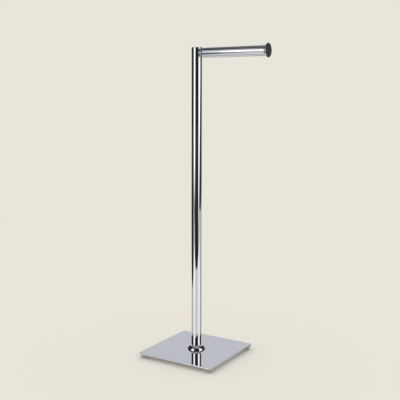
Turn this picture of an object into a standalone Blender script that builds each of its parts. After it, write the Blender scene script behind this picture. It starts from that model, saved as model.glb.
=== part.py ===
"""Freestanding toilet paper holder.

A square plate on four soft feet carries an upright tube, the post. A second tube, the arm, stands off the
post, level with its top, and ends in a flared button that keeps the roll on. Lengths are in metres and +Z is
up. The arm points along +X, and the origin lies on the floor under the middle of the whole outline.
"""

import math

import bmesh
import bpy
from mathutils import Matrix

# Fits and cuts
FIT_GAP = 0.0003  # left between pieces that touch, seat or pass through each other
CUT_OVERRUN = 0.002  # how far a cutter runs past the face that it opens
MERGE_DISTANCE = 0.00001  # closes the turned forms on their axis

# Whole object
OVERALL_HEIGHT = 0.656  # floor to the top of the post
ARM_REACH = 0.1645  # post axis to the face of the button

# Tube stock, shared by the post and the arm
TUBE_DIAMETER = 0.022
TUBE_WALL = 0.001
PLUG_CHAMFER = 0.0008  # lead-in on what is pressed into a tube

# Base plate
PLATE_SIDE = 0.180
PLATE_THICKNESS = 0.003
PLATE_CORNER_RADIUS = 0.005
PLATE_EDGE_RADIUS = 0.0009

# Feet
FOOT_DIAMETER = 0.0127
FOOT_HEIGHT = 0.008
FOOT_INSET = 0.008  # side of the plate to the middle of the foot
FOOT_TAPER = 0.0007  # lost from the radius at the floor
FOOT_EDGE_RADIUS = 0.0012

# Collar that covers the joint of post and plate
COLLAR_DIAMETER = 0.039
COLLAR_HEIGHT = 0.009
COLLAR_WALL = 0.001
COLLAR_FULLNESS_SHARE = 0.8  # 1 gives a quarter of an ellipse, and less a leaner dome

# Screw that pulls the post down on the plate, its washer, and the insert that it bites in
SCREW_DIAMETER = 0.006
SCREW_HEAD_DIAMETER = 0.0105
SCREW_HEAD_HEIGHT = 0.0033
SCREW_HEAD_FLAT_DIAMETER = 0.006
SCREW_ENGAGEMENT = 0.012  # length that reaches into the insert
SCREW_TIP_CHAMFER = 0.0007
SOCKET_WIDTH = 0.004  # across the flats
SOCKET_DEPTH = 0.002
SOCKET_SIDES = 6
WASHER_DIAMETER = 0.018
WASHER_THICKNESS = 0.0012
FOOT_INSERT_LENGTH = 0.018

# Top of the post
CAP_THICKNESS = 0.0015
CAP_EDGE_RADIUS = 0.0005
HEAD_INSERT_WALL = 0.002  # left above and below the stud's bore

# Joint of the arm with the post
ARM_STANDOFF = 0.0031  # clear distance from the post to the end of the arm
NECK_WALL = 0.0018  # round the stud's bore
STUD_DIAMETER = 0.008
STUD_PAST_AXIS = 0.005  # how far the stud runs beyond the post's axis
STUD_IN_ARM = 0.012
STUD_TIP_CHAMFER = 0.0008

# Plug that closes the arm at the post
ROOT_FLANGE_LENGTH = 0.005
ROOT_EDGE_RADIUS = 0.0042
ROOT_SPIGOT_LENGTH = 0.014

# Button at the free end of the arm
BUTTON_DIAMETER = 0.0285
BUTTON_FLARE_LENGTH = 0.0052
BUTTON_RIM_LENGTH = 0.0013
BUTTON_FACE_RADIUS = 0.0006
BUTTON_SPIGOT_LENGTH = 0.012

# Sides and steps of the round forms
TUBE_STEPS = 48
FITTING_STEPS = 32
ARC_STEPS = 4
DOME_STEPS = 9
CORNER_STEPS = 6
SHARP_ANGLE = math.radians(32)
EDGE_ANGLE = math.radians(60)

# Radii and heights worked out from the sizes above
TUBE_RADIUS = TUBE_DIAMETER / 2
PLUG_RADIUS = TUBE_RADIUS - TUBE_WALL - FIT_GAP
SCREW_HOLE_RADIUS = SCREW_DIAMETER / 2 + FIT_GAP
STUD_BORE_RADIUS = STUD_DIAMETER / 2 + FIT_GAP
PLATE_UNDERSIDE = FOOT_HEIGHT + FIT_GAP
POST_BOTTOM = PLATE_UNDERSIDE + PLATE_THICKNESS + FIT_GAP
WASHER_UNDERSIDE = PLATE_UNDERSIDE - FIT_GAP - WASHER_THICKNESS
SCREW_SEAT = WASHER_UNDERSIDE - FIT_GAP
CAP_UNDERSIDE = OVERALL_HEIGHT - CAP_THICKNESS
ARM_HEIGHT = OVERALL_HEIGHT - TUBE_RADIUS
HEAD_INSERT_TOP = ARM_HEIGHT + STUD_BORE_RADIUS + HEAD_INSERT_WALL
HEAD_INSERT_BOTTOM = ARM_HEIGHT - STUD_BORE_RADIUS - HEAD_INSERT_WALL

# Distances along the arm from the post's axis
ARM_ROOT = TUBE_RADIUS + ARM_STANDOFF
ARM_TUBE_START = ARM_ROOT + ROOT_FLANGE_LENGTH + FIT_GAP
BUTTON_START = ARM_REACH - BUTTON_FLARE_LENGTH - BUTTON_RIM_LENGTH
ARM_TUBE_END = BUTTON_START - FIT_GAP

# The outline runs from the rear side of the plate to the face of the button
POST_X = (PLATE_SIDE / 2 - ARM_REACH) / 2

COLLECTION_NAME = "toilet_paper_holder"


def clear_scene():
    """Remove every object, so that the model starts from an empty scene."""
    for leftover in list(bpy.data.objects):
        bpy.data.objects.remove(leftover, do_unlink=True)


def new_collection(name):
    collection = bpy.data.collections.new(name)
    bpy.context.scene.collection.children.link(collection)
    return collection


def new_material(name, color, metallic, roughness):
    material = bpy.data.materials.new(name)
    material.use_nodes = True
    shader = material.node_tree.nodes["Principled BSDF"]
    shader.inputs["Base Color"].default_value = (*color, 1.0)
    shader.inputs["Metallic"].default_value = metallic
    shader.inputs["Roughness"].default_value = roughness
    material.diffuse_color = (*color, 1.0)
    return material


def new_axis(name, collection, location, rotation=(0, 0, 0), parent=None):
    """Empty whose local Z is the axis that round pieces are strung on."""
    axis = bpy.data.objects.new(name, None)
    axis.empty_display_type = "ARROWS"
    axis.empty_display_size = TUBE_DIAMETER
    axis.location = location
    axis.rotation_euler = rotation
    axis.parent = parent
    collection.objects.link(axis)
    return axis


def place(mesh, name, collection, axis, location):
    """Object with this mesh at a place given in the axis's own frame."""
    piece = bpy.data.objects.new(name, mesh)
    piece.location = location
    piece.parent = axis
    collection.objects.link(piece)
    return piece


def arc(center, radii, start, end, steps):
    """Points of an elliptical arc in a turned outline, as (radius, height), with angles in degrees."""
    points = []
    for step in range(steps + 1):
        angle = math.radians(start + (end - start) * step / steps)
        points.append((center[0] + radii[0] * math.cos(angle), center[1] + radii[1] * math.sin(angle)))
    return points


def dome(hole_radius, width, height):
    """Outer side of a dome round a hole, from its top down, as (radius, height)."""
    points = []
    for step in range(DOME_STEPS + 1):
        angle = math.radians(90) * (1 - step / DOME_STEPS)
        across = math.cos(angle) ** (1 / COLLAR_FULLNESS_SHARE)
        up = math.sin(angle) ** (1 / COLLAR_FULLNESS_SHARE)
        points.append((hole_radius + width * across, height * up))
    return points


def tube_outline(outer_radius, wall, length):
    inner_radius = outer_radius - wall
    return [(outer_radius, length), (outer_radius, 0), (inner_radius, 0), (inner_radius, length)]


def turned_mesh(name, outline, steps, material, closed=False):
    """Turn an outline of (radius, height) points round Z. It runs down the outer side.

    An open outline starts and ends on the axis. A closed one goes round a bore.
    """
    profile = bpy.data.meshes.new(name + "_profile")
    edges = [(index, index + 1) for index in range(len(outline) - 1)]
    if closed:
        edges.append((len(outline) - 1, 0))
    profile.from_pydata([(radius, 0, height) for radius, height in outline], edges, [])
    lathe = bpy.data.objects.new(name + "_lathe", profile)
    bpy.context.scene.collection.objects.link(lathe)
    screw = lathe.modifiers.new("Screw", "SCREW")
    screw.axis = "Z"
    screw.steps = steps
    screw.render_steps = steps
    screw.use_merge_vertices = True
    screw.merge_threshold = MERGE_DISTANCE
    evaluated = lathe.evaluated_get(bpy.context.evaluated_depsgraph_get())
    mesh = bpy.data.meshes.new_from_object(evaluated)
    mesh.name = name
    bpy.data.objects.remove(lathe, do_unlink=True)
    bpy.data.meshes.remove(profile)
    mesh.shade_smooth()
    mesh.set_sharp_from_angle(angle=SHARP_ANGLE)
    mesh.materials.append(material)
    return mesh


def add_cutter(name, collection, axis, radius, low, high, steps, height=0):
    """Cylinder round the axis that runs from low to high above the given height."""
    mesh = bpy.data.meshes.new(name)
    shape = bmesh.new()
    bmesh.ops.create_cone(
        shape,
        cap_ends=True,
        segments=steps,
        radius1=radius,
        radius2=radius,
        depth=high - low,
        matrix=Matrix.Translation((0, 0, (low + high) / 2)),
    )
    shape.to_mesh(mesh)
    shape.free()
    cutter = place(mesh, name, collection, axis, (0, 0, height))
    cutter.display_type = "WIRE"
    cutter.hide_render = True
    return cutter


def cut(piece, cutter):
    boolean = piece.modifiers.new("Cut by " + cutter.name, "BOOLEAN")
    boolean.operation = "DIFFERENCE"
    boolean.solver = "EXACT"
    boolean.object = cutter


def make_base_plate(pieces, cutters, post_axis, chrome):
    """Square plate with rounded corners, softened edges and a hole for the screw."""
    mesh = bpy.data.meshes.new("base_plate")
    shape = bmesh.new()
    bmesh.ops.create_cube(shape, size=1, matrix=Matrix.Diagonal((PLATE_SIDE, PLATE_SIDE, PLATE_THICKNESS, 1)))
    bmesh.ops.translate(shape, verts=shape.verts, vec=(0, 0, PLATE_THICKNESS / 2))
    upright = [edge for edge in shape.edges if edge.verts[0].co.xy == edge.verts[1].co.xy]
    bmesh.ops.bevel(
        shape,
        geom=upright,
        offset=PLATE_CORNER_RADIUS,
        segments=CORNER_STEPS,
        profile=0.5,
        affect="EDGES",
    )
    shape.to_mesh(mesh)
    shape.free()
    mesh.shade_smooth()
    mesh.set_sharp_from_angle(angle=SHARP_ANGLE)
    mesh.materials.append(chrome)
    plate = place(mesh, "base_plate", pieces, post_axis, (0, 0, PLATE_UNDERSIDE))
    softened = plate.modifiers.new("Softened edges", "BEVEL")
    softened.width = min(PLATE_EDGE_RADIUS, PLATE_THICKNESS / 2 - FIT_GAP)
    softened.segments = ARC_STEPS
    softened.limit_method = "ANGLE"
    softened.angle_limit = EDGE_ANGLE
    screw_hole = add_cutter(
        "screw_hole_cutter",
        cutters,
        post_axis,
        SCREW_HOLE_RADIUS,
        -CUT_OVERRUN,
        PLATE_THICKNESS + CUT_OVERRUN,
        FITTING_STEPS,
        PLATE_UNDERSIDE,
    )
    cut(plate, screw_hole)


def make_feet(pieces, post_axis, rubber):
    """Four tapered bumpers that share one mesh, each inset from a corner of the plate."""
    top_radius = FOOT_DIAMETER / 2
    rounding = min(FOOT_EDGE_RADIUS, FOOT_HEIGHT)
    rounding_radius = top_radius - FOOT_TAPER - rounding
    outline = [(0, FOOT_HEIGHT), (top_radius, FOOT_HEIGHT)]
    outline += arc((rounding_radius, rounding), (rounding, rounding), 0, -90, ARC_STEPS)
    outline.append((0, 0))
    mesh = turned_mesh("foot", outline, FITTING_STEPS, rubber)
    reach = PLATE_SIDE / 2 - FOOT_INSET
    for end, x in (("rear", -reach), ("front", reach)):
        for side, y in (("right", -reach), ("left", reach)):
            place(mesh, f"foot_{end}_{side}", pieces, post_axis, (x, y, 0))


def make_collar(pieces, post_axis, chrome):
    """Hollow dome round the foot of the post, its rim on the plate."""
    hole_radius = TUBE_RADIUS + FIT_GAP
    width = COLLAR_DIAMETER / 2 - hole_radius
    outline = dome(hole_radius, width, COLLAR_HEIGHT)
    outline += reversed(dome(hole_radius, width - COLLAR_WALL, COLLAR_HEIGHT - COLLAR_WALL))
    mesh = turned_mesh("post_collar", outline, TUBE_STEPS, chrome, closed=True)
    place(mesh, "post_collar", pieces, post_axis, (0, 0, POST_BOTTOM))


def make_base_fixing(pieces, cutters, post_axis, zinc, steel):
    """Insert in the foot of the post, with the screw and washer that hold it from below."""
    insert_outline = [
        (PLUG_RADIUS - PLUG_CHAMFER, FOOT_INSERT_LENGTH),
        (PLUG_RADIUS, FOOT_INSERT_LENGTH - PLUG_CHAMFER),
        (PLUG_RADIUS, 0),
        (SCREW_HOLE_RADIUS, 0),
        (SCREW_HOLE_RADIUS, FOOT_INSERT_LENGTH),
    ]
    insert = turned_mesh("post_foot_insert", insert_outline, FITTING_STEPS, steel, closed=True)
    place(insert, "post_foot_insert", pieces, post_axis, (0, 0, POST_BOTTOM))

    washer_radius = WASHER_DIAMETER / 2
    washer_outline = tube_outline(washer_radius, washer_radius - SCREW_HOLE_RADIUS, WASHER_THICKNESS)
    washer = turned_mesh("base_washer", washer_outline, FITTING_STEPS, zinc, closed=True)
    place(washer, "base_washer", pieces, post_axis, (0, 0, WASHER_UNDERSIDE))

    tip = POST_BOTTOM + SCREW_ENGAGEMENT - SCREW_SEAT
    shank_radius = SCREW_DIAMETER / 2
    flat_radius = SCREW_HEAD_FLAT_DIAMETER / 2
    crown = (SCREW_HEAD_DIAMETER / 2 - flat_radius, SCREW_HEAD_HEIGHT)
    screw_outline = [
        (0, tip),
        (shank_radius - SCREW_TIP_CHAMFER, tip),
        (shank_radius, tip - SCREW_TIP_CHAMFER),
        (shank_radius, 0),
    ]
    screw_outline += arc((flat_radius, 0), crown, 0, -90, ARC_STEPS)
    screw_outline.append((0, -SCREW_HEAD_HEIGHT))
    screw_mesh = turned_mesh("base_screw", screw_outline, FITTING_STEPS, zinc)
    screw = place(screw_mesh, "base_screw", pieces, post_axis, (0, 0, SCREW_SEAT))
    socket = add_cutter(
        "socket_cutter",
        cutters,
        post_axis,
        SOCKET_WIDTH / 2 / math.cos(math.pi / SOCKET_SIDES),
        -CUT_OVERRUN,
        SOCKET_DEPTH,
        SOCKET_SIDES,
        SCREW_SEAT - SCREW_HEAD_HEIGHT,
    )
    cut(screw, socket)


def make_post(pieces, post_axis, chrome, steel, stud_bore):
    """Upright tube, the insert that takes the arm's stud, and the cap that closes the top."""
    tube_length = CAP_UNDERSIDE - FIT_GAP - POST_BOTTOM
    outline = tube_outline(TUBE_RADIUS, TUBE_WALL, tube_length)
    tube_mesh = turned_mesh("post_tube", outline, TUBE_STEPS, chrome, closed=True)
    tube = place(tube_mesh, "post_tube", pieces, post_axis, (0, 0, POST_BOTTOM))
    cut(tube, stud_bore)

    insert_length = HEAD_INSERT_TOP - HEAD_INSERT_BOTTOM
    insert_outline = [
        (0, insert_length),
        (PLUG_RADIUS, insert_length),
        (PLUG_RADIUS, PLUG_CHAMFER),
        (PLUG_RADIUS - PLUG_CHAMFER, 0),
        (0, 0),
    ]
    insert_mesh = turned_mesh("post_head_insert", insert_outline, TUBE_STEPS, steel)
    insert = place(insert_mesh, "post_head_insert", pieces, post_axis, (0, 0, HEAD_INSERT_BOTTOM))
    cut(insert, stud_bore)

    rounding = min(CAP_EDGE_RADIUS, CAP_THICKNESS)
    edge_center = (TUBE_RADIUS - rounding, CAP_THICKNESS - rounding)
    spigot_length = CAP_UNDERSIDE - FIT_GAP - HEAD_INSERT_TOP
    cap_outline = [(0, CAP_THICKNESS)]
    cap_outline += arc(edge_center, (rounding, rounding), 90, 0, ARC_STEPS)
    cap_outline += [(TUBE_RADIUS, 0), (PLUG_RADIUS, 0), (PLUG_RADIUS, -spigot_length), (0, -spigot_length)]
    cap = turned_mesh("post_top_cap", cap_outline, TUBE_STEPS, chrome)
    place(cap, "post_top_cap", pieces, post_axis, (0, 0, CAP_UNDERSIDE))


def make_arm_joint(pieces, cutters, post_axis, arm_axis, chrome, zinc):
    """Stud from the post into the arm, and the saddled neck that fills the standoff round it."""
    stud_length = STUD_PAST_AXIS + ARM_ROOT + STUD_IN_ARM
    stud_radius = STUD_DIAMETER / 2
    stud_outline = [
        (0, stud_length),
        (stud_radius - STUD_TIP_CHAMFER, stud_length),
        (stud_radius, stud_length - STUD_TIP_CHAMFER),
        (stud_radius, STUD_TIP_CHAMFER),
        (stud_radius - STUD_TIP_CHAMFER, 0),
        (0, 0),
    ]
    stud = turned_mesh("arm_stud", stud_outline, FITTING_STEPS, zinc)
    place(stud, "arm_stud", pieces, arm_axis, (0, 0, -STUD_PAST_AXIS))

    neck_radius = STUD_BORE_RADIUS + NECK_WALL
    neck_outline = tube_outline(neck_radius, NECK_WALL, ARM_ROOT - FIT_GAP)
    neck_mesh = turned_mesh("arm_neck", neck_outline, FITTING_STEPS, chrome, closed=True)
    neck = place(neck_mesh, "arm_neck", pieces, arm_axis, (0, 0, 0))
    saddle_reach = neck_radius + CUT_OVERRUN
    saddle = add_cutter(
        "saddle_cutter",
        cutters,
        post_axis,
        TUBE_RADIUS + FIT_GAP,
        -saddle_reach,
        saddle_reach,
        TUBE_STEPS,
        ARM_HEIGHT,
    )
    cut(neck, saddle)


def make_arm(pieces, arm_axis, chrome):
    """Arm tube, the round-edged plug at its root and the flared button at its free end."""
    plug_length = ROOT_FLANGE_LENGTH + ROOT_SPIGOT_LENGTH
    bore_end = STUD_IN_ARM + FIT_GAP
    rounding = min(ROOT_EDGE_RADIUS, ROOT_FLANGE_LENGTH)
    plug_outline = [
        (0, plug_length),
        (PLUG_RADIUS - PLUG_CHAMFER, plug_length),
        (PLUG_RADIUS, plug_length - PLUG_CHAMFER),
        (PLUG_RADIUS, ROOT_FLANGE_LENGTH),
        (TUBE_RADIUS, ROOT_FLANGE_LENGTH),
    ]
    plug_outline += arc((TUBE_RADIUS - rounding, rounding), (rounding, rounding), 0, -90, ARC_STEPS)
    plug_outline += [(STUD_BORE_RADIUS, 0), (STUD_BORE_RADIUS, bore_end), (0, bore_end)]
    plug = turned_mesh("arm_root_plug", plug_outline, TUBE_STEPS, chrome)
    place(plug, "arm_root_plug", pieces, arm_axis, (0, 0, ARM_ROOT))

    outline = tube_outline(TUBE_RADIUS, TUBE_WALL, ARM_TUBE_END - ARM_TUBE_START)
    tube = turned_mesh("arm_tube", outline, TUBE_STEPS, chrome, closed=True)
    place(tube, "arm_tube", pieces, arm_axis, (0, 0, ARM_TUBE_START))

    face = BUTTON_FLARE_LENGTH + BUTTON_RIM_LENGTH
    rim_radius = BUTTON_DIAMETER / 2
    rounding = min(BUTTON_FACE_RADIUS, BUTTON_RIM_LENGTH)
    button_outline = [(0, face)]
    button_outline += arc((rim_radius - rounding, face - rounding), (rounding, rounding), 90, 0, ARC_STEPS)
    button_outline += [
        (rim_radius, BUTTON_FLARE_LENGTH),
        (TUBE_RADIUS, 0),
        (PLUG_RADIUS, 0),
        (PLUG_RADIUS, PLUG_CHAMFER - BUTTON_SPIGOT_LENGTH),
        (PLUG_RADIUS - PLUG_CHAMFER, -BUTTON_SPIGOT_LENGTH),
        (0, -BUTTON_SPIGOT_LENGTH),
    ]
    button = turned_mesh("arm_end_button", button_outline, TUBE_STEPS, chrome)
    place(button, "arm_end_button", pieces, arm_axis, (0, 0, BUTTON_START))


def main():
    clear_scene()
    pieces = new_collection(COLLECTION_NAME)
    cutters = new_collection(COLLECTION_NAME + "_cutters")
    chrome = new_material("polished_chrome", (0.77, 0.78, 0.80), 1.0, 0.03)
    rubber = new_material("clear_rubber", (0.60, 0.62, 0.58), 0.0, 0.35)
    zinc = new_material("zinc_plated_steel", (0.48, 0.48, 0.50), 1.0, 0.35)
    steel = new_material("plain_steel", (0.42, 0.41, 0.40), 1.0, 0.45)

    post_axis = new_axis("post_axis", pieces, (POST_X, 0, 0))
    arm_axis = new_axis("arm_axis", pieces, (0, 0, ARM_HEIGHT), (0, math.radians(90), 0), post_axis)
    bore_start = -STUD_PAST_AXIS - FIT_GAP
    bore_end = TUBE_RADIUS + CUT_OVERRUN
    stud_bore = add_cutter(
        "stud_bore_cutter", cutters, arm_axis, STUD_BORE_RADIUS, bore_start, bore_end, FITTING_STEPS
    )

    make_base_plate(pieces, cutters, post_axis, chrome)
    make_feet(pieces, post_axis, rubber)
    make_collar(pieces, post_axis, chrome)
    make_base_fixing(pieces, cutters, post_axis, zinc, steel)
    make_post(pieces, post_axis, chrome, steel, stud_bore)
    make_arm_joint(pieces, cutters, post_axis, arm_axis, chrome, zinc)
    make_arm(pieces, arm_axis, chrome)


main()
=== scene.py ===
"""Looks of the freestanding toilet paper holder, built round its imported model. Lengths are in metres.

Smooth meshes take the place of its faceted solids, apart from the inserts and the washer. They stand in a
small photographer's studio that the chrome reflects: a pale sheet, three large flat lights, a pale backdrop
and a dark room.
"""

import math

import bmesh
import bpy
from mathutils import Matrix, Vector


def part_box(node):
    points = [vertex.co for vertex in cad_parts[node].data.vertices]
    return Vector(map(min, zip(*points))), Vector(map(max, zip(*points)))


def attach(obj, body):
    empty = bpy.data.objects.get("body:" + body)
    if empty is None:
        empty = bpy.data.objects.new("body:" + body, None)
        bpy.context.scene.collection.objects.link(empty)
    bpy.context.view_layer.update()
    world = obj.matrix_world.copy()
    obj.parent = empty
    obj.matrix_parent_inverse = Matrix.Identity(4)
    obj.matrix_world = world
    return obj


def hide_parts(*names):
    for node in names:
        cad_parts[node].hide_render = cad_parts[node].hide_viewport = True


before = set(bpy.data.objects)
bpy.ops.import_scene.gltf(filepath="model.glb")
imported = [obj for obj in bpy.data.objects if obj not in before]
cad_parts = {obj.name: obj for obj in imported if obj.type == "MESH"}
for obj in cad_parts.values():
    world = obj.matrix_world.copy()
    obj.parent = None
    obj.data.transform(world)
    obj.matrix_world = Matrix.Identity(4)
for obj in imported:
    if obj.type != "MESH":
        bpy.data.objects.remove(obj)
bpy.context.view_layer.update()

# Camera, as solved from the photograph
PICTURE_SIDE = 400  # pixels
SENSOR_WIDTH = 36.0  # millimetres
FOCAL_PIXELS = 722.7
CAMERA_YAW = math.radians(31.803)  # how far the camera stands round to the arm's side
CAMERA_DISTANCE = 1.5203  # from the post's axis, along the floor
CAMERA_HEIGHT = 0.5484
CAMERA_PITCH = math.radians(7.880)
CAMERA_PAN = math.radians(0.274)
CAMERA_ROLL = math.radians(0.126)

# Detail of the meshes
SEAM = 0.00003  # left between pieces that look closed
FIT_GAP = 0.0003  # what the solids leave between pieces that touch
SUPPORT = 0.00025  # distance of the ring that keeps a flat run flat up to its rounding
SHARP_ANGLE = math.radians(40)  # edges that turn more than this stay hard
TURN_STEPS = 192
ARC_STEPS = 10
DOME_STEPS = 40

# Tubes, cap, root plug and neck
TUBE_WALL = 0.001
TUBE_EDGE_RADIUS = 0.00012
CAP_EDGE_RADIUS = 0.0006
ROOT_EDGE_RADIUS = 0.0042
NECK_WALL = 0.0018

# Button
BUTTON_RIM_LENGTH = 0.0013
BUTTON_FACE_RADIUS = 0.0005
BUTTON_FLARE_EDGE_RADIUS = 0.0005
BUTTON_STRAIGHT = 0.0013  # between the tube and the flare
BUTTON_FLARE_TURN = 50.0  # degrees through which the hollow flare curves away from the tube
BUTTON_FLARE_EDGE_TURN = 65.0  # degrees from the rim round to the flare

# Collar, base plate and feet
COLLAR_WALL = 0.001
DOME_FULLNESS = 1.6  # 2 is an ellipse
PLATE_CORNER_RADIUS = 0.005
PLATE_EDGE_RADIUS = 0.0009
PLATE_CORNER_STEPS = 24
FOOT_TAPER = 0.0007
FOOT_EDGE_RADIUS = 0.0012
FOOT_TOP_EDGE_RADIUS = 0.0004

# Screw and stud
SCREW_DIAMETER = 0.006
SCREW_PITCH = 0.001
SCREW_HEAD_HEIGHT = 0.0033
SCREW_HEAD_FLAT_DIAMETER = 0.006
SCREW_TIP_CHAMFER = 0.0007
SOCKET_WIDTH = 0.004
SOCKET_DEPTH = 0.002
STUD_PITCH = 0.00125
STUD_TIP_CHAMFER = 0.0008
THREAD_DEPTH_SHARE = 0.55  # of the pitch
THREAD_ROWS = 8  # per turn
THREAD_STEPS = 48  # a multiple of the socket's six sides

# Surfaces. Their colour and roughness go between two values with a cloudy noise.
# Their bump follows a second noise.
CLOUD_RANGE = {"From_Min": 0.3, "From_Max": 0.7}
CHROME = {
    "colours": ((0.765, 0.775, 0.795), (0.790, 0.797, 0.810)),
    "roughness": (0.012, 0.035),
    "cloud": {"Scale": 28.0, "Detail": 4.0, "Roughness": 0.6},
    "grain": {"Scale": 150.0, "Detail": 2.0},
    "bump": {"Strength": 0.3, "Distance": 0.0000002},
    "base": {"Metallic": 1.0},
}
RUBBER = {
    "colours": ((0.55, 0.57, 0.56), (0.68, 0.70, 0.69)),
    "roughness": (0.16, 0.30),
    "cloud": {"Scale": 260.0, "Detail": 3.0, "Roughness": 0.55},
    "grain": {"Scale": 1500.0, "Detail": 2.0},
    "bump": {"Strength": 0.3, "Distance": 0.00002},
    "base": {"IOR": 1.45, "Transmission Weight": 0.55},
}
ZINC = {
    "colours": ((0.40, 0.40, 0.42), (0.56, 0.56, 0.57)),
    "roughness": (0.25, 0.41),
    "cloud": {"Scale": 900.0, "Detail": 5.0, "Roughness": 0.65},
    "grain": {"Scale": 900.0, "Detail": 5.0, "Roughness": 0.65},
    "bump": {"Strength": 0.15, "Distance": 0.0001},
    "base": {"Metallic": 1.0},
}
STEEL = {
    "colours": ((0.34, 0.33, 0.32), (0.48, 0.47, 0.46)),
    "roughness": (0.34, 0.50),
    "cloud": {"Scale": 1400.0, "Detail": 5.0, "Roughness": 0.65},
    "grain": {"Scale": 1400.0, "Detail": 5.0, "Roughness": 0.65},
    "bump": {"Strength": 0.15, "Distance": 0.0001},
    "base": {"Metallic": 1.0},
}

# Sheet on the floor. The studio's azimuths are in degrees from the camera's side, positive to the right.
BACKGROUND = (0.8110, 0.7830, 0.7010)
SHEET_SHINE = (0.715, 0.720, 0.730)  # what the sheet shows to the chrome
SHEET_BEHIND = (0.420, 0.395, 0.355)  # the same in two sectors behind the post
SHEET_SECTORS = (
    {"azimuth": 138.0, "half": 46.0, "soft": 8.0},
    {"azimuth": -106.0, "half": 14.0, "soft": 8.0},
)
# Corners of the sheet, as distances to the right and to the front of the post
SHEET_CORNERS = ((-1.04, 0.80), (2.07, 0.80), (2.07, -2.4), (-0.50, -2.4), (-0.56, -0.05))
SHADOW_REACH = 0.32  # from the post's axis, where the sheet starts to fade into the background
SHADOW_FADE = 0.23
# Painted shadow along the plate in the sheet's glow as the chrome sees it: the glow drops to this share
# right at the plate.
PAINTED_CONTACT_SHADE = 0.58  # of the sheet's shine, right at the plate
CONTACT_REACH = 0.022
VARNISH_ROUGHNESS = 0.1
VARNISH_IOR = 1.5

# Light on matt surfaces, stronger near the horizon and behind on the left. It adds up to 1 on the floor.
LIGHT_ALL_ROUND = 1.24
LIGHT_ABOVE = -0.36
LIGHT_ASIDE = 0.20
LIGHT_AZIMUTH = -140.0
LIGHT_WARMTH = (0.22, -0.06, -0.20)  # added at the horizon
LIGHT_WARMTH_CHANGE = -1.5  # from the horizon to the zenith, which leaves the floor's light nearly neutral

# Lights as upright flat panels, from one side to the other: azimuth, distance and height of the foot
LEFT_LIGHT = {
    "sides": ((-61.2, 2.56, 0.0), (-33.1, 1.96, 0.20)),
    "top": 2.17,
    "level": 1.65,
    "tint": (1, 1, 1),
}
SIDE_LIGHT = {
    "sides": ((-72.0, 5.98, 0.0), (-61.2, 2.56, 0.0)),
    "top": 3.94,
    "level": 0.65,
    "tint": (0.9, 1, 1.12),
}
RIGHT_LIGHT = {
    "sides": ((41.7, 1.26, 0.0), (81.8, 4.50, 0.80)),
    "top": 2.17,
    "level": 1.60,
    "tint": (1, 1, 1),
}
LIGHT_SOFT_SIDE = math.radians(2.5)  # as seen from the post
LIGHT_SOFT_FOOT = 0.45
LIGHT_SOFT_TOP = 1.50

# Backdrop and room, with elevations in degrees
BACKDROP = {"azimuth": 180.0, "half": 36.0, "soft": 12.0, "level": 0.60}
BACKDROP_TOP = (58.0, 46.0)
BACKDROP_RISE = {"from": 25.0, "to": 36.0, "level": 0.45}
BACKDROP_TINT = (0.99, 0.995, 1.075)
SIDE_WALL = {"azimuth": 116.0, "half": 12.0, "soft": 8.0, "level": 0.032}
ROOM_LEVEL = 0.025
ROOM_RISE = {"from": 37.8, "to": 89.7, "level": 0.36}
CEILING = {"from": 60.0, "to": 73.0, "level": 0.08}
DARK_FLOOR_SHINE = 0.006
DARK_FLOOR_GLOSS = 1.5  # times that of plain varnish
DARK_FLOOR_SIDE = 24.0
DARK_FLOOR_DEPTH = 0.00025  # under the sheet

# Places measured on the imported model, and directions
POST_LOW, POST_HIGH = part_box("post_tube")
ARM_LOW, ARM_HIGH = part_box("arm_tube")
PLATE_LOW, PLATE_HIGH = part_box("base_plate")
TUBE_RADIUS = (POST_HIGH.y - POST_LOW.y) / 2
SPIGOT_RADIUS = TUBE_RADIUS - TUBE_WALL - FIT_GAP
POST_X = (POST_LOW.x + POST_HIGH.x) / 2
ARM_Z = (ARM_LOW.z + ARM_HIGH.z) / 2
POST_AXIS = Vector((POST_X, 0, 0))
UP = Vector((0, 0, 1))
TOWARDS_CAMERA = Vector((math.sin(CAMERA_YAW), -math.cos(CAMERA_YAW), 0))
TO_THE_RIGHT = Vector((math.cos(CAMERA_YAW), math.sin(CAMERA_YAW), 0))


def arc(center, radius, start, end):
    """Points of an arc in a turned outline, as (radius, height), with angles in degrees."""
    points = []
    for step in range(ARC_STEPS + 1):
        angle = math.radians(start + (end - start) * step / ARC_STEPS)
        points.append((center[0] + radius[0] * math.cos(angle), center[1] + radius[1] * math.sin(angle)))
    return points


def rounding(corner_radius, corner_height, size, start, end):
    """Rounded outer corner of an outline, with the arc's centre inside the corner."""
    middle = math.radians((start + end) / 2)
    center = (
        corner_radius - size * math.copysign(1, math.cos(middle)),
        corner_height - size * math.copysign(1, math.sin(middle)),
    )
    return arc(center, (size, size), start, end)


def with_supports(outline, closed):
    """Add a point close to each end of the long straight runs, so that they shade flat."""
    result = []
    count = len(outline)
    for index, point in enumerate(outline):
        result.append(point)
        if index == count - 1 and not closed:
            continue
        following = outline[(index + 1) % count]
        length = math.dist(point, following)
        if length < 3 * SUPPORT:
            continue
        for share in (SUPPORT / length, 1 - SUPPORT / length):
            result.append(tuple(a + (b - a) * share for a, b in zip(point, following)))
    return result


def as_object(name, shape):
    """Object in the scene from a bmesh."""
    mesh = bpy.data.meshes.new(name)
    shape.to_mesh(mesh)
    shape.free()
    made = bpy.data.objects.new(name, mesh)
    bpy.context.scene.collection.objects.link(made)
    return made


def bridge(shape, first, second):
    """Faces between two rings of vertices. A ring of one vertex is a point on the axis."""
    count = max(len(first), len(second))
    for index in range(count):
        following = (index + 1) % count
        if len(first) == 1:
            shape.faces.new((first[0], second[following], second[index]))
        elif len(second) == 1:
            shape.faces.new((first[index], first[following], second[0]))
        else:
            shape.faces.new((first[index], first[following], second[following], second[index]))


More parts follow.
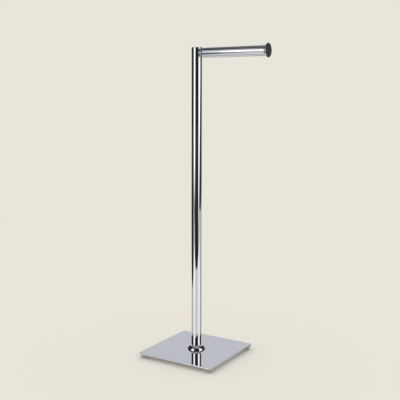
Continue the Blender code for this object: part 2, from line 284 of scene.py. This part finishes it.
def joined(name, shape, rings, closed=False):
    """Smoothly shaded piece from rings that follow each other, and from the last to the first if closed."""
    following = rings[1:] + rings[:1] if closed else rings[1:]
    for first, second in zip(rings, following):
        bridge(shape, first, second)
    bmesh.ops.recalc_face_normals(shape, faces=shape.faces)
    piece = as_object(name, shape)
    piece.data.shade_smooth()
    piece.data.set_sharp_from_angle(angle=SHARP_ANGLE)
    return piece


def around(shape, place, matrix, steps):
    """Ring of vertices whose radius and height follow from the angle."""
    ring = []
    for step in range(steps):
        angle = 2 * math.pi * step / steps
        radius, height = place(angle)
        corner = Vector((radius * math.cos(angle), radius * math.sin(angle), height))
        ring.append(shape.verts.new(matrix @ corner))
    return ring


def circle(shape, radius, height, matrix, steps):
    """Round ring of vertices, or one vertex where the radius is 0."""
    return around(shape, lambda angle: (radius, height), matrix, steps if radius > 0 else 1)


def turned(name, outline, matrix, closed=False):
    """Piece turned from an outline of (radius, height) points round the matrix's Z axis."""
    shape = bmesh.new()
    points = with_supports(outline, closed)
    rings = [circle(shape, radius, height, matrix, TURN_STEPS) for radius, height in points]
    return joined(name, shape, rings, closed)


def upright(height):
    """Frame on the post's axis, at a height."""
    return Matrix.Translation(Vector((POST_X, 0, height)))


def along_arm(distance):
    """Frame whose Z runs along the arm, from a distance off the post's axis."""
    place = Matrix.Translation(Vector((POST_X + distance, 0, ARM_Z)))
    return place @ Matrix.Rotation(math.radians(90), 4, "Y")


def tube_outline(length):
    """Outline of a tube whose outer edges are a little rounded."""
    inner = TUBE_RADIUS - TUBE_WALL
    outline = rounding(TUBE_RADIUS, length, TUBE_EDGE_RADIUS, 90, 0)
    outline += rounding(TUBE_RADIUS, 0, TUBE_EDGE_RADIUS, 0, -90)
    outline += [(inner, 0), (inner, length)]
    return outline


def make_post():
    """Upright tube."""
    bottom = POST_LOW.z
    top = POST_HIGH.z + FIT_GAP - SEAM
    return turned("post_tube_chrome", tube_outline(top - bottom), upright(bottom), closed=True)


def make_top_cap():
    """Cap with a spigot in the tube, its flange flush with the tube."""
    low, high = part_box("post_top_cap")
    flange_bottom = POST_HIGH.z + FIT_GAP
    thickness = high.z - flange_bottom
    spigot_end = low.z - flange_bottom
    outline = [(0, thickness)]
    outline += rounding(TUBE_RADIUS, thickness, CAP_EDGE_RADIUS, 90, 0)
    outline += rounding(TUBE_RADIUS, 0, TUBE_EDGE_RADIUS, 0, -90)
    outline += [(SPIGOT_RADIUS, 0), (SPIGOT_RADIUS, spigot_end), (0, spigot_end)]
    return turned("post_top_cap_chrome", outline, upright(flange_bottom))


def dome(hole, width, height):
    """Outline of a dome, a little less full than an ellipse, from the top down."""
    points = []
    for step in range(DOME_STEPS + 1):
        angle = math.radians(90) * (1 - step / DOME_STEPS)
        across = abs(math.cos(angle)) ** (2 / DOME_FULLNESS)
        up = abs(math.sin(angle)) ** (2 / DOME_FULLNESS)
        points.append((hole + width * across, height * up))
    return points


def make_collar():
    """Hollow dome that closes on the post and on the plate."""
    low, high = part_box("post_collar")
    bottom = PLATE_HIGH.z + SEAM
    height = high.z - bottom
    hole = TUBE_RADIUS + 2 * SEAM
    width = (high.x - low.x) / 2 - hole
    outline = dome(hole, width, height)
    outline += reversed(dome(hole, width - COLLAR_WALL, height - COLLAR_WALL))
    return turned("post_collar_chrome", outline, upright(bottom), closed=True)


def make_arm_tube():
    """Level tube."""
    start = ARM_LOW.x - FIT_GAP + SEAM - POST_X
    end = ARM_HIGH.x + FIT_GAP - SEAM - POST_X
    return turned("arm_tube_chrome", tube_outline(end - start), along_arm(start), closed=True)


def make_root_plug():
    """Round-edged end of the arm at the post, with its spigot and the stud's blind bore."""
    low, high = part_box("arm_root_plug")
    stud_low, stud_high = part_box("arm_stud")
    flange = ARM_LOW.x - FIT_GAP - low.x
    bore = (stud_high.z - stud_low.z) / 2 + FIT_GAP
    bore_end = stud_high.x + FIT_GAP - low.x
    length = high.x - low.x
    outline = [(0, length), (SPIGOT_RADIUS, length), (SPIGOT_RADIUS, flange)]
    outline += rounding(TUBE_RADIUS, flange, TUBE_EDGE_RADIUS, 90, 0)
    outline += rounding(TUBE_RADIUS, 0, ROOT_EDGE_RADIUS, 0, -90)
    outline += [(bore, 0), (bore, bore_end), (0, bore_end)]
    return turned("arm_root_plug_chrome", outline, along_arm(low.x - POST_X))


def hollow_flare(rim, depth):
    """Outline of the button's back, from its rim in a hollow curve to the tube."""
    edge = BUTTON_FLARE_EDGE_RADIUS
    edge_turn = math.radians(BUTTON_FLARE_EDGE_TURN)
    radius = rim - edge * (1 - math.cos(edge_turn))
    height = depth - edge * math.sin(edge_turn)
    turn = math.radians(BUTTON_FLARE_TURN)
    across = (radius - TUBE_RADIUS) / (1 - math.cos(turn))
    deep = (height - BUTTON_STRAIGHT) / math.sin(turn)
    center = (TUBE_RADIUS + across, BUTTON_STRAIGHT)
    outline = arc((rim - edge, depth), (edge, edge), 0, -BUTTON_FLARE_EDGE_TURN)
    outline += arc(center, (across, deep), 180 - BUTTON_FLARE_TURN, 180)
    outline.append((TUBE_RADIUS, 0))
    return outline


def make_button():
    """Flared button with a flat face and a softened rim."""
    low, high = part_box("arm_end_button")
    start = ARM_HIGH.x + FIT_GAP - POST_X
    face = high.x - POST_X - start
    rim = (high.z - low.z) / 2
    spigot_end = low.x - POST_X - start
    outline = [(0, face)]
    outline += rounding(rim, face, BUTTON_FACE_RADIUS, 90, 0)
    outline += hollow_flare(rim, face - BUTTON_RIM_LENGTH)
    outline += [(SPIGOT_RADIUS, 0), (SPIGOT_RADIUS, spigot_end), (0, spigot_end)]
    return turned("arm_end_button_chrome", outline, along_arm(start))


def neck_ring(shape, radius, end=None):
    """Ring round the arm's axis, flat at a given end or else shaped to the post's side."""
    saddle = TUBE_RADIUS + SEAM
    ring = []
    for step in range(TURN_STEPS):
        angle = 2 * math.pi * step / TURN_STEPS
        y = radius * math.cos(angle)
        z = radius * math.sin(angle)
        x = POST_X + math.sqrt(saddle**2 - y**2) if end is None else end
        ring.append(shape.verts.new((x, y, ARM_Z + z)))
    return ring


def make_neck():
    """Spacer between post and arm, its inner end shaped to the post's round side."""
    low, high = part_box("arm_neck")
    outer = (high.z - low.z) / 2
    inner = outer - NECK_WALL
    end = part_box("arm_root_plug")[0].x - SEAM
    shape = bmesh.new()
    rings = [
        neck_ring(shape, outer),
        neck_ring(shape, outer, end),
        neck_ring(shape, inner, end),
        neck_ring(shape, inner),
    ]
    return joined("arm_neck_chrome", shape, rings, closed=True)


def thread_rings(shape, radius, pitch, start, end, matrix):
    """Rings of a screw thread, which runs out at both of its ends."""
    depth = pitch * THREAD_DEPTH_SHARE
    rows = round((end - start) / pitch * THREAD_ROWS)
    rings = []
    for row in range(rows + 1):
        height = start + (end - start) * row / rows
        run_out = min(1, (height - start) / pitch, (end - height) / pitch)

        def place(angle):
            """Radius and height of the thread at an angle."""
            turn = (height / pitch - angle / (2 * math.pi)) % 1
            return radius - depth * (1 - run_out * abs(2 * turn - 1)), height

        rings.append(around(shape, place, matrix, THREAD_STEPS))
    return rings


def hexagon(height):
    """Place of a hexagonal socket's side at each angle, at a height."""
    side = math.radians(60)
    return lambda angle: (SOCKET_WIDTH / 2 / math.cos(angle % side - side / 2), height)


def make_screw():
    """Machine screw, head down, with a hexagonal socket."""
    low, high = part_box("base_screw")
    seat = low.z + SCREW_HEAD_HEIGHT
    head_radius = (high.x - low.x) / 2
    flat_radius = SCREW_HEAD_FLAT_DIAMETER / 2
    radius = SCREW_DIAMETER / 2
    core = radius - SCREW_PITCH * THREAD_DEPTH_SHARE
    length = high.z - seat
    socket_end = SOCKET_DEPTH - SCREW_HEAD_HEIGHT
    matrix = upright(seat)
    shape = bmesh.new()
    rings = [circle(shape, 0, socket_end, matrix, THREAD_STEPS)]
    for height in (socket_end, -SCREW_HEAD_HEIGHT):
        rings.append(around(shape, hexagon(height), matrix, THREAD_STEPS))
    crown = arc((flat_radius, 0), (head_radius - flat_radius, SCREW_HEAD_HEIGHT), -90, 0)
    for point in crown + [(core, 0)]:
        rings.append(circle(shape, *point, matrix, THREAD_STEPS))
    rings += thread_rings(shape, radius, SCREW_PITCH, 0, length - SCREW_TIP_CHAMFER, matrix)
    for tip in (core - SCREW_TIP_CHAMFER, 0):
        rings.append(circle(shape, tip, length, matrix, THREAD_STEPS))
    return joined("base_screw_zinc", shape, rings)


def make_stud():
    """Threaded rod that joins the arm to the post."""
    low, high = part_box("arm_stud")
    length = high.x - low.x
    radius = (high.z - low.z) / 2
    tip = radius - STUD_PITCH * THREAD_DEPTH_SHARE - STUD_TIP_CHAMFER
    matrix = along_arm(low.x - POST_X)
    shape = bmesh.new()
    rings = [circle(shape, across, 0, matrix, THREAD_STEPS) for across in (0, tip)]
    rings += thread_rings(shape, radius, STUD_PITCH, STUD_TIP_CHAMFER, length - STUD_TIP_CHAMFER, matrix)
    rings += [circle(shape, across, length, matrix, THREAD_STEPS) for across in (tip, 0)]
    return joined("arm_stud_zinc", shape, rings)


def rounded_square(shape, side, corner, height):
    """Ring of vertices round a square with rounded corners, on the post's axis."""
    ring = []
    reach = side / 2 - corner
    for quarter in range(4):
        turn = math.radians(90 * quarter)
        center = Matrix.Rotation(turn, 2) @ Vector((reach, reach))
        for step in range(PLATE_CORNER_STEPS + 1):
            angle = turn + math.radians(90) * step / PLATE_CORNER_STEPS
            x = POST_X + center.x + corner * math.cos(angle)
            y = center.y + corner * math.sin(angle)
            ring.append(shape.verts.new((x, y, height)))
    return ring


def hole_ring(shape, radius, height):
    """Round ring on the post's axis with as many vertices as a rounded square has."""
    count = 4 * (PLATE_CORNER_STEPS + 1)
    ring = []
    for step in range(count):
        angle = 2 * math.pi * (step + 0.5) / count
        ring.append(shape.verts.new((POST_X + radius * math.cos(angle), radius * math.sin(angle), height)))
    return ring


def make_plate():
    """Square plate with rounded corners and softened edges, open for the screw."""
    side = PLATE_HIGH.x - PLATE_LOW.x
    thickness = PLATE_HIGH.z - PLATE_LOW.z
    edge = PLATE_EDGE_RADIUS
    profile = [(-SUPPORT, thickness)]
    profile += arc((0, thickness - edge), (edge, edge), 90, 0)
    profile += arc((0, edge), (edge, edge), 0, -90)
    profile.append((-SUPPORT, 0))
    hole = SCREW_DIAMETER / 2 + FIT_GAP
    shape = bmesh.new()
    rings = [hole_ring(shape, hole, PLATE_HIGH.z)]
    for reach, height in profile:
        inset = edge - reach
        corner = PLATE_CORNER_RADIUS - inset
        rings.append(rounded_square(shape, side - 2 * inset, corner, PLATE_LOW.z + height))
    rings.append(hole_ring(shape, hole, PLATE_LOW.z))
    return joined("base_plate_chrome", shape, rings, closed=True)


def make_foot(name):
    """Tapered soft bumper under a corner of the plate."""
    low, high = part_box(name)
    radius = (high.x - low.x) / 2
    height = PLATE_LOW.z - SEAM
    outline = [(0, height)]
    outline += rounding(radius, height, FOOT_TOP_EDGE_RADIUS, 90, 0)
    outline += rounding(radius - FOOT_TAPER, 0, FOOT_EDGE_RADIUS, 0, -90)
    outline.append((0, 0))
    center = (low + high) / 2
    place = Matrix.Translation(Vector((center.x, center.y, low.z)))
    return turned(name + "_rubber", outline, place)


def node(tree, kind, **settings):
    """New node, with its properties and its unlinked inputs set by name."""
    made = tree.nodes.new(kind)
    for key, value in settings.items():
        if key in made.bl_rna.properties:
            setattr(made, key, value)
        else:
            made.inputs[key.replace("_", " ")].default_value = value
    return made


def calculate(tree, operation, *values):
    """Math node on sockets and numbers."""
    made = node(tree, "ShaderNodeMath", operation=operation)
    for index, value in enumerate(values):
        if isinstance(value, bpy.types.NodeSocket):
            tree.links.new(value, made.inputs[index])
        else:
            made.inputs[index].default_value = value
    return made.outputs["Value"]


def product(tree, factors):
    """Product of several sockets."""
    result = factors[0]
    for factor in factors[1:]:
        result = calculate(tree, "MULTIPLY", result, factor)
    return result


def smooth_step(tree, value, start, end, low=0.0, high=1.0):
    """Smooth change from low to high while the value goes from start to end."""
    made = node(tree, "ShaderNodeMapRange", interpolation_type="SMOOTHSTEP", From_Min=start, From_Max=end)
    made.inputs["To Min"].default_value = low
    made.inputs["To Max"].default_value = high
    tree.links.new(value, made.inputs["Value"])
    return made.outputs["Result"]


def rise(tree, elevation, part, low=0.0):
    """Smooth rise by a part's level between its two elevations."""
    return smooth_step(tree, elevation, part["from"], part["to"], low, low + part["level"])


def along(tree, direction, axis):
    """Part of a direction along an axis."""
    made = node(tree, "ShaderNodeVectorMath", operation="DOT_PRODUCT")
    made.inputs[1].default_value = axis
    tree.links.new(direction, made.inputs[0])
    return made.outputs["Value"]


def azimuth_of(tree, direction):
    """Azimuth of a direction in degrees, from the camera's side and positive to the right."""
    right = along(tree, direction, TO_THE_RIGHT)
    front = along(tree, direction, TOWARDS_CAMERA)
    return calculate(tree, "DEGREES", calculate(tree, "ARCTAN2", right, front))


def panel(tree, azimuth, part):
    """1 within a soft-edged upright panel round its azimuth, and 0 beside it."""
    turn = calculate(tree, "SUBTRACT", azimuth, part["azimuth"])
    turn = calculate(tree, "WRAP", turn, 180.0, -180.0)
    turn = calculate(tree, "ABSOLUTE", turn)
    return smooth_step(tree, turn, part["half"] + part["soft"], part["half"] - part["soft"])


def towards(azimuth):
    """Level direction at an azimuth in degrees."""
    angle = math.radians(azimuth)
    return TO_THE_RIGHT * math.sin(angle) + TOWARDS_CAMERA * math.cos(angle)


def surface_place(tree):
    """Place on an object's surface, in the object's own coordinates."""
    return node(tree, "ShaderNodeTexCoord").outputs["Object"]


def offset_from(tree, point):
    """Offset of the place on the surface from a point."""
    offset = node(tree, "ShaderNodeVectorMath", operation="SUBTRACT")
    offset.inputs[1].default_value = point
    tree.links.new(surface_place(tree), offset.inputs[0])
    return offset.outputs["Vector"]


def noise(tree, settings):
    """Noise over an object's surface."""
    made = node(tree, "ShaderNodeTexNoise", **settings)
    tree.links.new(surface_place(tree), made.inputs["Vector"])
    return made.outputs["Fac"]


def surface_material(name, look):
    """Material of the object, from one of the looks at the top."""
    material = bpy.data.materials.new(name)
    material.use_nodes = True
    tree = material.node_tree
    shader = tree.nodes["Principled BSDF"]
    cloud = noise(tree, look["cloud"])
    tint = node(tree, "ShaderNodeMix", data_type="RGBA")
    for end, colour in zip("AB", look["colours"]):
        tint.inputs[end].default_value = (*colour, 1)
    smooth, dull = look["roughness"]
    rough = node(tree, "ShaderNodeMapRange", To_Min=smooth, To_Max=dull, **CLOUD_RANGE)
    bump = node(tree, "ShaderNodeBump", **look["bump"])
    tree.links.new(cloud, tint.inputs["Factor"])
    tree.links.new(cloud, rough.inputs["Value"])
    tree.links.new(noise(tree, look["grain"]), bump.inputs["Height"])
    tree.links.new(tint.outputs["Result"], shader.inputs["Base Color"])
    tree.links.new(rough.outputs["Result"], shader.inputs["Roughness"])
    tree.links.new(bump.outputs["Normal"], shader.inputs["Normal"])
    for key, value in look["base"].items():
        shader.inputs[key].default_value = value
    return material


def dress(piece, material, name):
    """Give a piece its material and slot, and let it ride in place of the named node."""
    piece.data.materials.clear()
    piece.data.materials.append(material)
    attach(piece, "root")
    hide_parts(name)


def ray_kinds(tree):
    """Whether a ray is the camera's, straight or through something clear, and whether it left a mirror."""
    path = node(tree, "ShaderNodeLightPath")
    seen = calculate(tree, "MAXIMUM", path.outputs["Is Camera Ray"], path.outputs["Is Transmission Ray"])
    return seen, path.outputs["Is Glossy Ray"]


def mix_shaders(tree, factor, first, second):
    """The first shader where the factor is 0, and the second where it is 1."""
    mixed = node(tree, "ShaderNodeMixShader")
    tree.links.new(factor, mixed.inputs["Fac"])
    tree.links.new(first, mixed.inputs[1])
    tree.links.new(second, mixed.inputs[2])
    return mixed.outputs["Shader"]


def add_shaders(tree, first, second):
    """Both shaders on top of each other."""
    both = node(tree, "ShaderNodeAddShader")
    tree.links.new(first, both.inputs[0])
    tree.links.new(second, both.inputs[1])
    return both.outputs["Shader"]


def varnish(tree, strength=1.0):
    """Gloss of a varnished floor, which mirrors more at a slant."""
    gloss = node(tree, "ShaderNodeBsdfGlossy", Roughness=VARNISH_ROUGHNESS)
    fresnel = node(tree, "ShaderNodeFresnel", IOR=VARNISH_IOR)
    share = calculate(tree, "MULTIPLY", fresnel.outputs["Fac"], strength)
    tree.links.new(calculate(tree, "MINIMUM", share, 1.0), gloss.inputs["Color"])
    return gloss.outputs["BSDF"]


def stage_face(name, corners):
    """Flat piece of the studio, which isn't part of the object."""
    shape = bmesh.new()
    shape.faces.new([shape.verts.new(corner) for corner in corners])
    face = as_object(name, shape)
    return face


def stage_material(name, face):
    """Put an empty material on a piece of the studio. Returns its tree and where its surface links."""
    material = bpy.data.materials.new(name)
    material.use_nodes = True
    tree = material.node_tree
    tree.nodes.clear()
    face.data.materials.append(material)
    return tree, node(tree, "ShaderNodeOutputMaterial").inputs["Surface"]


def only_in_mirrors(face):
    """Keep a piece of the studio out of everything but reflections."""
    face.visible_camera = False
    face.visible_diffuse = False
    face.visible_transmission = False
    face.visible_shadow = False


def make_dark_floor():
    """Dark varnished floor beyond the pale sheet, which shows only in the chrome."""
    half = DARK_FLOOR_SIDE / 2
    outline = ((-half, -half), (half, -half), (half, half), (-half, half))
    floor = stage_face("dark_floor", [(x, y, -DARK_FLOOR_DEPTH) for x, y in outline])
    only_in_mirrors(floor)
    tree, surface = stage_material("dark_varnish", floor)
    dim = node(tree, "ShaderNodeEmission", Strength=DARK_FLOOR_SHINE)
    tree.links.new(add_shaders(tree, dim.outputs["Emission"], varnish(tree, DARK_FLOOR_GLOSS)), surface)


def light_shape(tree, light, start, end, soft):
    """1 on a light, and less towards its soft sides, foot and top."""
    width = (end - start).length
    offset = offset_from(tree, start)
    reach = along(tree, offset, (end - start).normalized())
    height = along(tree, offset, UP)
    start_foot, end_foot = (foot for _, _, foot in light["sides"])
    slope = (end_foot - start_foot) / width
    foot = calculate(tree, "MULTIPLY_ADD", reach, slope, start_foot)
    above_foot = calculate(tree, "SUBTRACT", height, foot)
    edges = [
        smooth_step(tree, reach, -soft, soft),
        smooth_step(tree, reach, width + soft, width - soft),
        smooth_step(tree, above_foot, -LIGHT_SOFT_FOOT / 2, LIGHT_SOFT_FOOT / 2),
        smooth_step(tree, height, light["top"], light["top"] - LIGHT_SOFT_TOP),
    ]
    return product(tree, edges)


def make_light(name, light):
    """Flat upright light with soft sides, foot and top, which shows only in the chrome."""
    start, end = (POST_AXIS + towards(azimuth) * distance for azimuth, distance, _ in light["sides"])
    soft = LIGHT_SOFT_SIDE * sum(distance for _, distance, _ in light["sides"]) / 2
    beside = (end - start).normalized() * soft
    low = [start - beside, end + beside]
    high = [corner + UP * light["top"] for corner in reversed(low)]
    face = stage_face(name, low + high)
    only_in_mirrors(face)
    tree, surface = stage_material(name + "_glow", face)
    glow = node(tree, "ShaderNodeEmission", Color=(*light["tint"], 1), Strength=light["level"])
    clear = node(tree, "ShaderNodeBsdfTransparent")
    shape = light_shape(tree, light, start, end, soft)
    tree.links.new(mix_shaders(tree, shape, clear.outputs["BSDF"], glow.outputs["Emission"]), surface)


def sheet_colour(tree):
    """What the sheet shows to the chrome, darker and warmer in the sectors behind the post."""
    azimuth = azimuth_of(tree, offset_from(tree, POST_AXIS))
    sectors = [panel(tree, azimuth, part) for part in SHEET_SECTORS]
    mixed = node(tree, "ShaderNodeMix", data_type="RGBA")
    mixed.inputs["A"].default_value = (*SHEET_SHINE, 1)
    mixed.inputs["B"].default_value = (*SHEET_BEHIND, 1)
    tree.links.new(calculate(tree, "ADD", *sectors), mixed.inputs["Factor"])
    return mixed.outputs["Result"]


def from_plate(tree):
    """Distance of a place on the floor from the sides of the plate, less than zero under it."""
    parts = node(tree, "ShaderNodeSeparateXYZ")
    tree.links.new(offset_from(tree, POST_AXIS), parts.inputs["Vector"])
    across = calculate(tree, "ABSOLUTE", parts.outputs["X"])
    deep = calculate(tree, "ABSOLUTE", parts.outputs["Y"])
    return calculate(tree, "SUBTRACT", calculate(tree, "MAXIMUM", across, deep), PLATE_HIGH.y)


def shown_sheet(tree, matt):
    """The sheet as the camera sees it, which fades into the plain background away from the object."""
    plain = node(tree, "ShaderNodeEmission", Color=(*BACKGROUND, 1))
    spread = node(tree, "ShaderNodeVectorMath", operation="DISTANCE")
    spread.inputs[1].default_value = POST_AXIS
    tree.links.new(surface_place(tree), spread.inputs[0])
    fade = smooth_step(tree, spread.outputs["Value"], SHADOW_REACH, SHADOW_REACH + SHADOW_FADE)
    return mix_shaders(tree, fade, matt, plain.outputs["Emission"])


def mirrored_sheet(tree):
    """The sheet as the chrome sees it: glossy, with a painted shadow that darkens its glow close to the
    plate.
    """
    glow = node(tree, "ShaderNodeEmission")
    tree.links.new(sheet_colour(tree), glow.inputs["Color"])
    # Painted shadow: the glow dims towards the plate's sides.
    shade = smooth_step(tree, from_plate(tree), 0.0, CONTACT_REACH, PAINTED_CONTACT_SHADE, 1.0)
    tree.links.new(shade, glow.inputs["Strength"])
    return add_shaders(tree, glow.outputs["Emission"], varnish(tree))


def make_floor():
    """Pale sheet under the object, which is clear from below."""
    corners = [POST_AXIS + TO_THE_RIGHT * right + TOWARDS_CAMERA * front for right, front in SHEET_CORNERS]
    floor = stage_face("floor", corners)
    tree, surface = stage_material("pale_sheet", floor)
    seen, mirrored = ray_kinds(tree)
    matt = node(tree, "ShaderNodeBsdfDiffuse", Color=(*BACKGROUND, 1)).outputs["BSDF"]
    clear = node(tree, "ShaderNodeBsdfTransparent").outputs["BSDF"]
    below = node(tree, "ShaderNodeNewGeometry").outputs["Backfacing"]
    unseen = mix_shaders(tree, mirrored, matt, mirrored_sheet(tree))
    above = mix_shaders(tree, seen, unseen, shown_sheet(tree, matt))
    tree.links.new(mix_shaders(tree, below, above, clear), surface)


def studio(tree, direction):
    """What mirrors see beyond the lights and the floor: a dark room and a pale backdrop."""
    azimuth = azimuth_of(tree, direction)
    elevation = calculate(tree, "DEGREES", calculate(tree, "ARCSINE", along(tree, direction, UP)))

    grey = ROOM_LEVEL
    for part in (ROOM_RISE, CEILING):
        grey = calculate(tree, "ADD", grey, rise(tree, elevation, part))
    wall = panel(tree, azimuth, SIDE_WALL)
    grey = calculate(tree, "MULTIPLY_ADD", wall, SIDE_WALL["level"], grey)
    dark = node(tree, "ShaderNodeBackground", Color=(1, 1, 1, 1))
    tree.links.new(grey, dark.inputs["Strength"])

    backdrop = [
        panel(tree, azimuth, BACKDROP),
        smooth_step(tree, elevation, *BACKDROP_TOP),
        rise(tree, elevation, BACKDROP_RISE, BACKDROP["level"]),
    ]
    pale = node(tree, "ShaderNodeBackground", Color=(*BACKDROP_TINT, 1))
    tree.links.new(product(tree, backdrop), pale.inputs["Strength"])
    return add_shaders(tree, dark.outputs["Background"], pale.outputs["Background"])


def soft_light(tree, direction):
    """Strength of the light on matt surfaces from each direction."""
    above = calculate(tree, "MULTIPLY_ADD", along(tree, direction, UP), LIGHT_ABOVE, LIGHT_ALL_ROUND)
    aside = along(tree, direction, towards(LIGHT_AZIMUTH))
    return calculate(tree, "MULTIPLY_ADD", aside, LIGHT_ASIDE, above)


def light_tint(tree, direction):
    """Tint of the light on matt surfaces, warm near the horizon and cool from above."""
    lean = calculate(tree, "MULTIPLY_ADD", along(tree, direction, UP), LIGHT_WARMTH_CHANGE, 1.0)
    warm = node(tree, "ShaderNodeVectorMath", operation="SCALE")
    warm.inputs[0].default_value = LIGHT_WARMTH
    tree.links.new(lean, warm.inputs["Scale"])
    tint = node(tree, "ShaderNodeVectorMath", operation="ADD")
    tint.inputs[1].default_value = (1, 1, 1)
    tree.links.new(warm.outputs["Vector"], tint.inputs[0])
    return tint.outputs["Vector"]


def make_world():
    """Plain background for the camera, soft light on matt surfaces, and the studio in mirrors."""
    world = bpy.data.worlds.new("studio")
    bpy.context.scene.world = world
    world.use_nodes = True
    tree = world.node_tree
    tree.nodes.clear()
    direction = node(tree, "ShaderNodeTexCoord").outputs["Generated"]
    seen, mirrored = ray_kinds(tree)
    background = node(tree, "ShaderNodeBackground", Color=(*BACKGROUND, 1))
    light = node(tree, "ShaderNodeBackground")
    tree.links.new(soft_light(tree, direction), light.inputs["Strength"])
    tree.links.new(light_tint(tree, direction), light.inputs["Color"])
    unseen = mix_shaders(tree, mirrored, light.outputs["Background"], studio(tree, direction))
    final = mix_shaders(tree, seen, unseen, background.outputs["Background"])
    output = node(tree, "ShaderNodeOutputWorld")
    tree.links.new(final, output.inputs["Surface"])


def make_camera():
    """Camera of the photograph."""
    data = bpy.data.cameras.new("camera")
    data.sensor_width = SENSOR_WIDTH
    data.lens = FOCAL_PIXELS * SENSOR_WIDTH / PICTURE_SIDE
    camera = bpy.data.objects.new("camera", data)
    level = -TOWARDS_CAMERA * math.cos(CAMERA_PAN) + TO_THE_RIGHT * math.sin(CAMERA_PAN)
    forward = level * math.cos(CAMERA_PITCH) - UP * math.sin(CAMERA_PITCH)
    right = forward.cross(UP).normalized()
    turn = Matrix.Rotation(CAMERA_ROLL, 3, "Z")
    axes = Matrix((right, right.cross(forward), -forward)).transposed() @ turn
    camera.location = POST_AXIS + TOWARDS_CAMERA * CAMERA_DISTANCE + UP * CAMERA_HEIGHT
    camera.rotation_euler = axes.to_euler()
    bpy.context.scene.collection.objects.link(camera)
    bpy.context.scene.camera = camera


def make_holder():
    """Every piece of the object in its material."""
    chrome = surface_material("mirror_chrome", CHROME)
    rubber = surface_material("clear_foot_rubber", RUBBER)
    zinc = surface_material("zinc_plating", ZINC)
    steel = surface_material("turned_steel", STEEL)

    dress(make_plate(), chrome, "base_plate")
    dress(make_post(), chrome, "post_tube")
    dress(make_top_cap(), chrome, "post_top_cap")
    dress(make_collar(), chrome, "post_collar")
    dress(make_neck(), chrome, "arm_neck")
    dress(make_root_plug(), chrome, "arm_root_plug")
    dress(make_arm_tube(), chrome, "arm_tube")
    dress(make_button(), chrome, "arm_end_button")
    for end in ("front", "rear"):
        for side in ("left", "right"):
            name = f"foot_{end}_{side}"
            dress(make_foot(name), rubber, name)
    dress(make_screw(), zinc, "base_screw")
    dress(make_stud(), zinc, "arm_stud")
    for name, material in (("post_head_insert", steel), ("post_foot_insert", steel), ("base_washer", zinc)):
        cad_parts[name].data.materials.clear()
        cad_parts[name].data.materials.append(material)


def make_studio():
    """Floor, lights, world and camera."""
    make_floor()
    make_dark_floor()
    make_light("left_light", LEFT_LIGHT)
    make_light("side_light", SIDE_LIGHT)
    make_light("right_light", RIGHT_LIGHT)
    make_world()
    make_camera()
    bpy.context.scene.view_settings.view_transform = "Standard"


make_holder()
make_studio()
